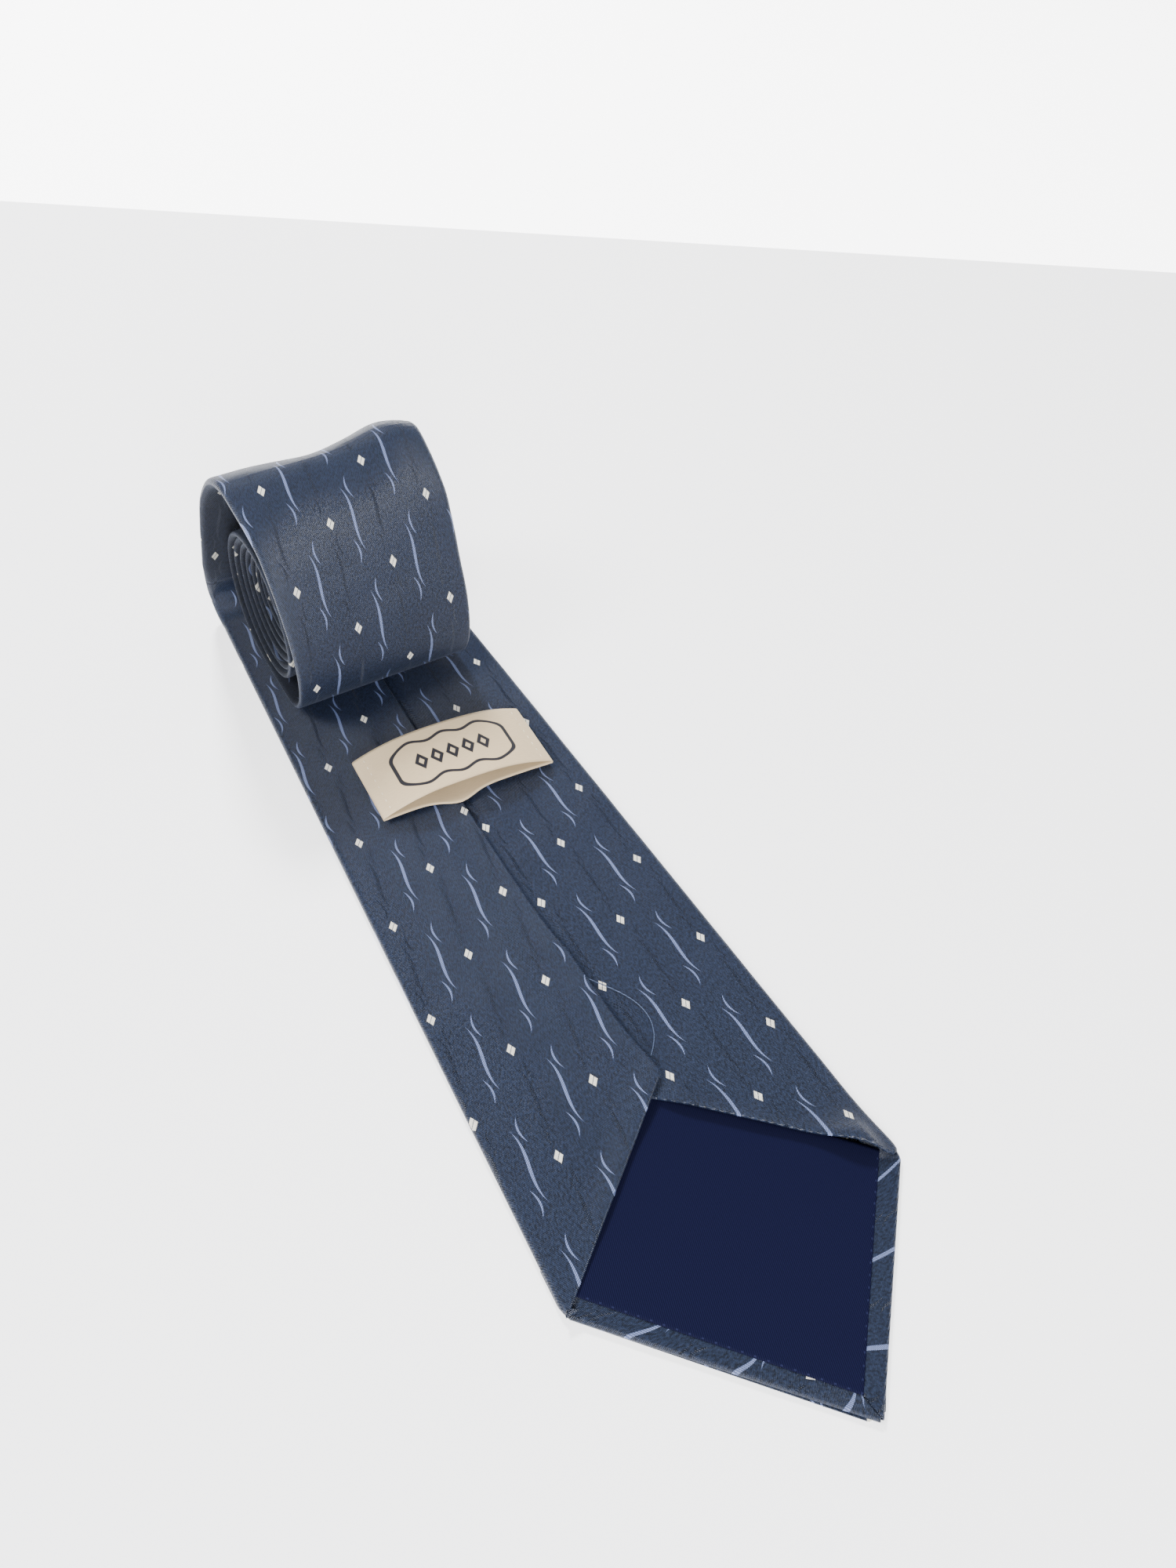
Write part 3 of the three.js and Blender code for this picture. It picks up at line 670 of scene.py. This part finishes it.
# Brushed wool: matt and hairy, off-white, with the hairs drawn at 0.6 mm
wool, tree = new_material("interlining_brushed_wool")
woven = node(tree, "UVMap", uv_map="weave")
hair = node(tree, "TexNoise", woven,
            named={"Scale": 1.6, "Detail": 5.0, "Roughness": 0.7, "Distortion": 1.2})
surface(tree, hair, 0.6, 0.0002, Roughness=0.95, Sheen_Weight=0.3,
        Base_Color=node(tree, "MixRGB", hair, linear("#CFC8B9"), linear("#EEE9DD")))
for name, cad_name, start, end, inset, depth, thickness in (
        ("wool_blade", "interlining_blade", 60.0, BLADE_END, 2.0, 1.0, 0.8),
        ("wool_roll", "interlining_roll", BLADE_END, LENGTH - 34, 1.3, 0.75, 0.45)):
    grids = strip(start, end, inset, depth, 2.5)
    made = add_cloth(name, grids, wool, thickness)
    if cad_name == "interlining_blade":
        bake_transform(made)
    else:
        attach(made, "roll")
    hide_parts(cad_name)


# ---- Keeper loop: a satin label folded into a flat tube, which holds the narrow end when worn ----
# Cream woven satin, 57 by 26 mm, with its ends folded under. The front arches up off the tie, and
# the back is caught down along the tie's seam.

# Woven satin: cream, with a soft gleam across its fine crosswise threads, 0.25 mm apart, and a
# generic border and lozenges woven in black
satin, tree = new_material("label_satin_cream")
woven = node(tree, "UVMap", uv_map="weave")
axes = tree.nodes.new("ShaderNodeSeparateXYZ")
tree.links.new(woven, axes.inputs[0])
u, v = axes.outputs[0], axes.outputs[1]
thread_rows = node(tree, "TexWave", woven, named={"Scale": 1.2, "Distortion": 0.5, "Detail": 1.0},
                   bands_direction="Y")
slub = node(tree, "TexNoise", node(tree, "Mapping", woven, named={"Scale": (0.5, 3.0, 1)}),
            named={"Scale": 1.0, "Detail": 3.0})
wobble = node(tree, "Math", node(tree, "Math", u, 0.55, operation="MULTIPLY"), operation="COSINE")
over_u = node(tree, "Math", node(tree, "Math", node(tree, "Math", u, operation="ABSOLUTE"), 14.5,
                                 operation="SUBTRACT"), 0.0, operation="MAXIMUM")
over_v = node(tree, "Math", node(tree, "Math", node(tree, "Math", v, operation="ABSOLUTE"),
                                 node(tree, "Math", wobble, 0.8, 3.9, operation="MULTIPLY_ADD"),
                                 operation="SUBTRACT"), 0.0, operation="MAXIMUM")
off = node(tree, "Math", node(tree, "Math", over_u, over_u, operation="MULTIPLY"),
           node(tree, "Math", over_v, over_v, operation="MULTIPLY"), operation="ADD")
off = node(tree, "Math", off, operation="SQRT")
border = node(tree, "Math", 0.58, node(tree, "Math", node(tree, "Math", off, 4.4, operation="SUBTRACT"),
                                       operation="ABSOLUTE"), operation="SUBTRACT")
beat = node(tree, "Math", node(tree, "Math", u, 1.0 / 5.2, operation="MULTIPLY"), operation="ROUND")
across_beat = node(tree, "Math", node(tree, "Math", u, node(tree, "Math", beat, 5.2, operation="MULTIPLY"),
                                      operation="SUBTRACT"), operation="ABSOLUTE")
lozenge = node(tree, "Math", node(tree, "Math", across_beat, 1.0 / 2.2, operation="MULTIPLY"),
               node(tree, "Math", node(tree, "Math", v, operation="ABSOLUTE"), 1.0 / 3.6,
                    operation="MULTIPLY"), operation="ADD")
lozenge = node(tree, "Math", node(tree, "Math", lozenge, 0.72, operation="SUBTRACT"),
               operation="ABSOLUTE")
lozenge = node(tree, "Math", 0.3, lozenge, operation="SUBTRACT")
row_end = node(tree, "Math", 13.2, node(tree, "Math", u, operation="ABSOLUTE"), operation="SUBTRACT")
lozenge = node(tree, "Math", lozenge, row_end, operation="MINIMUM")
mark = node(tree, "Math", inside(tree, border, 0.1), inside(tree, lozenge, 0.06), operation="MAXIMUM")
cream = node(tree, "MixRGB", slub, linear("#B8A382"), linear("#CBB694"))
surface(tree, node(tree, "Math", mark, 1.5, thread_rows, operation="MULTIPLY_ADD"), 0.3, 0.00005,
        Base_Color=node(tree, "MixRGB", mark, cream, linear("#1D1C22")), Roughness=0.42,
        Sheen_Weight=0.2, Sheen_Roughness=0.3)

LABEL_MIDDLE, LABEL_TURN = np.array([4.2, 222.0]), np.radians(-1.2)
LABEL_HALF, LABEL_WIDE = 28.5, 13.0     # half its length, and half its width
LABEL_REST, LABEL_WALL, LABEL_ARCH = 4.95, 0.8, 5.3


def arch(u):
    """Rise of the label's front: its height times one less the 2.6th power of the way to its end."""
    return LABEL_ARCH * (1 - np.abs(u / LABEL_HALF) ** 2.6)


def label_place(u, v, z):
    """A point of the label in place: along it, across it, and its height."""
    c, s = np.cos(LABEL_TURN), np.sin(LABEL_TURN)
    x, y = LABEL_MIDDLE[0] + u * c - v * s, LABEL_MIDDLE[1] + u * s + v * c
    return np.stack((x, y - MIDDLE, z), -1) * MM


front_u = np.linspace(-28.1, 28.1, 70)
turn = np.linspace(0, np.pi, 8)[1:-1]
ring_u = np.r_[front_u, 28.1 + 0.4 * np.sin(turn), front_u[::-1], -28.1 - 0.4 * np.sin(turn)]
on_front = np.r_[np.ones(70), (1 + np.cos(turn)) / 2, np.zeros(70), (1 - np.cos(turn)) / 2]
ring_u = np.r_[ring_u, ring_u[:1]]
on_front = np.r_[on_front, on_front[:1]]
v = np.linspace(-LABEL_WIDE, LABEL_WIDE, 27)[:, None]
u = ring_u[None, :] + 0 * v
front = arch(u) * (1 + 0.02 * -v / LABEL_WIDE) + 0.12 * waves(u, v + 0 * u, 17, 41)
back = 0.5 * (1 - np.exp(-((u + 4) / 5) ** 2)) * (1 - np.abs(u / LABEL_HALF) ** 4)
z = LABEL_REST + on_front * (LABEL_WALL + front) + (1 - on_front) * back
dip = -2.8 * np.exp(-((u + 4.2) / 7) ** 2) * (1 - on_front)
label_grid = [(label_place(u, v + dip, z), {0: np.stack((u, v + 0 * u + 60 * (on_front < 0.9)), -1)},
               np.zeros(len(ring_u), int), 1.0)]
label = add_cloth("satin_label", label_grid, satin, 0.3)
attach(label, "blade")
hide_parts("keeper_loop")


# ---- Stitches: the rows that hold the label, the slip stitch under the seam, and the bar tacks ----
# The same sewing thread; the label's stitches are ivory.

# Ivory thread: matt cotton, twisted
ivory, tree = new_material("sewing_thread_ivory")
place_in = node(tree, "TexCoord", output=3)
ply = node(tree, "TexWave", place_in, named={"Scale": 900.0})
surface(tree, Base_Color=node(tree, "MixRGB", ply, linear("#CFC4AE"), linear("#EFE6D4")), Roughness=0.6)


def add_threads(name, starts, ends, radius, look, lift=0.0):
    """Short round threads from start to end: a ring of points carried along each, bowed up by a half
    sine, and drawn in at both ends."""
    t = np.linspace(0, 1, 7)[None, :, None]
    line = starts[:, None, :] * (1 - t) + ends[:, None, :] * t
    line[..., 2] += lift * np.sin(np.pi * t[..., 0])
    way = ends - starts
    way /= np.linalg.norm(way, axis=1)[:, None]
    side = np.cross(way, (0, 0, 1.0))
    side /= np.linalg.norm(side, axis=1)[:, None]
    up = np.cross(side, way)
    angle = np.linspace(0, 2 * np.pi, 6, endpoint=False)
    swell = np.sqrt(np.clip(1 - (2 * t[..., 0] - 1) ** 4, 0.02, 1))[..., None, None]
    ring = np.cos(angle)[None, None, :, None] * side[:, None, None, :] + \
        np.sin(angle)[None, None, :, None] * up[:, None, None, :]
    tube = (line[:, :, None, :] + radius * swell * ring - (0, MIDDLE, 0)) * MM
    count = len(starts)
    at = np.arange(count * 42).reshape(count, 7, 6)
    nxt = np.roll(at, -1, axis=2)
    quads = np.stack((at[:, :-1], nxt[:, :-1], nxt[:, 1:], at[:, 1:]), -1).reshape(-1, 4)
    caps = np.vstack((at[:, 0, ::-1], at[:, -1]))
    mesh = bpy.data.meshes.new(name)
    mesh.from_pydata(tube.reshape(-1, 3).tolist(), [], quads.tolist() + caps.tolist())
    shape = bmesh.new()
    shape.from_mesh(mesh)
    bmesh.ops.recalc_face_normals(shape, faces=shape.faces)
    shape.to_mesh(mesh)
    shape.free()
    mesh.shade_smooth()
    mesh.materials.append(look)
    made = bpy.data.objects.new(name, mesh)
    bpy.context.collection.objects.link(made)
    return made


for name, side in (("keeper_stitches_left", -1), ("keeper_stitches_right", 1)):
    v = np.linspace(-10.5, 10.5, 8)
    u = np.full(8, side * 25.4)
    height = LABEL_REST + LABEL_WALL + arch(u) + 0.16
    spot = label_place(u, v, height) / MM + (0, MIDDLE, 0)
    row = add_threads("label_" + name[7:], spot - (0, 0.55, 0), spot + (0, 0.55, 0), 0.12, ivory, 0.08)
    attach(row, "blade")
    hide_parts(name)

y = np.linspace(118, 246, 40)
spot = np.c_[-0.9 + 0 * y, y, 3.45 + 0 * y]
seam_stitch = add_threads("seam_slip_stitch", spot, spot + (0.5, 2.2, 0), 0.13, thread_look)
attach(seam_stitch, "blade")
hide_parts("slip_stitch")

y = np.linspace(106.3, 107.7, 6)
spot = np.c_[-2.3 + 0 * y, y, 3.4 + 0 * y]
tack = add_threads("tack_blade", spot, spot + (5.0, 0.25, 0), 0.14, thread_look, 0.1)
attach(tack, "blade")
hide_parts("bar_tack_blade")

box = np.array(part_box("bar_tack_tail")) / MM + (0, MIDDLE, 0)
y = np.linspace(box[0, 1] + 0.2, box[1, 1] - 0.2, 6)
mid_z = box[:, 2].mean()
spot = np.c_[box[0, 0] + 0 * y, y, mid_z + 0 * y]
tack = add_threads("tack_tail", spot, spot + (5.0, 0.2, 0), 0.14, thread_look)
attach(tack, "roll")
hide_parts("bar_tack_tail")


# ---- Surface and light: a pale floor and a soft studio ----
# A painted board on a paper backdrop. Both glow a little, which brings them to the white of paper.

# Smooth painted board: near white, with a faint gloss
board, tree = new_material("painted_board_white")
surface(tree, Base_Color=linear("#F1F1F3"), Roughness=0.12, Specular_IOR_Level=0.5,
        Emission_Color=linear("#FFFFFF"), Emission_Strength=1.3)
# Backdrop paper: matt white
wall_look, tree = new_material("paper_backdrop_white")
surface(tree, Base_Color=linear("#F4F4F5"), Roughness=0.9, Emission_Color=linear("#FFFFFF"),
        Emission_Strength=4.5)


def add_plane(name, corners, look):
    """One flat quad."""
    mesh = bpy.data.meshes.new(name)
    mesh.from_pydata(corners, [], [(0, 1, 2, 3)])
    mesh.materials.append(look)
    made = bpy.data.objects.new(name, mesh)
    bpy.context.collection.objects.link(made)
    return made


# The board ends on a line behind the tie, and the backdrop goes on beyond it
FAR_LEFT, FAR_RIGHT = np.array([-0.80, 0.974]), np.array([0.984, -0.094])
add_plane("board", [(-1.6, -1.4, 0), (1.8, -1.4, 0), (*FAR_RIGHT, 0), (*FAR_LEFT, 0)], board)
add_plane("backdrop", [(-30, -30, -0.02), (30, -30, -0.02), (30, 30, -0.02), (-30, 30, -0.02)],
          wall_look)

world = bpy.context.scene.world or bpy.data.worlds.new("studio")
bpy.context.scene.world = world
world.use_nodes = True
world.node_tree.nodes.clear()
sky = node(world.node_tree, "Background", linear("#F6F7FA"), 0.75)
node(world.node_tree, "OutputWorld", sky)
# Three square lamps: place, aim, side in metres, and power in watts. The back one has no reflection.
for name, place, aim, size, power in (
        ("key", (-0.7, 0.25, 0.85), (0, 0, 0), 0.4, 8.0),
        ("back", (0.25, 1.15, 0.95), (0, 0.1, 0), 0.2, 44.0),
        ("front", (-0.35, -1.0, 0.5), (0, 0.1, 0.03), 0.6, 30.0)):
    lamp_data = bpy.data.lights.new(name, "AREA")
    lamp_data.shape, lamp_data.size, lamp_data.energy = "SQUARE", size, power
    lamp = bpy.data.objects.new(name, lamp_data)
    away = np.array(place) - np.array(aim)
    away = away / np.linalg.norm(away)
    side = np.cross((0, 0, 1.0), away)
    side /= np.linalg.norm(side)
    axes = Matrix((side, np.cross(away, side), away)).transposed().to_4x4()
    lamp.matrix_world = Matrix.Translation(place) @ axes
    lamp.visible_glossy = name != "back"
    bpy.context.collection.objects.link(lamp)
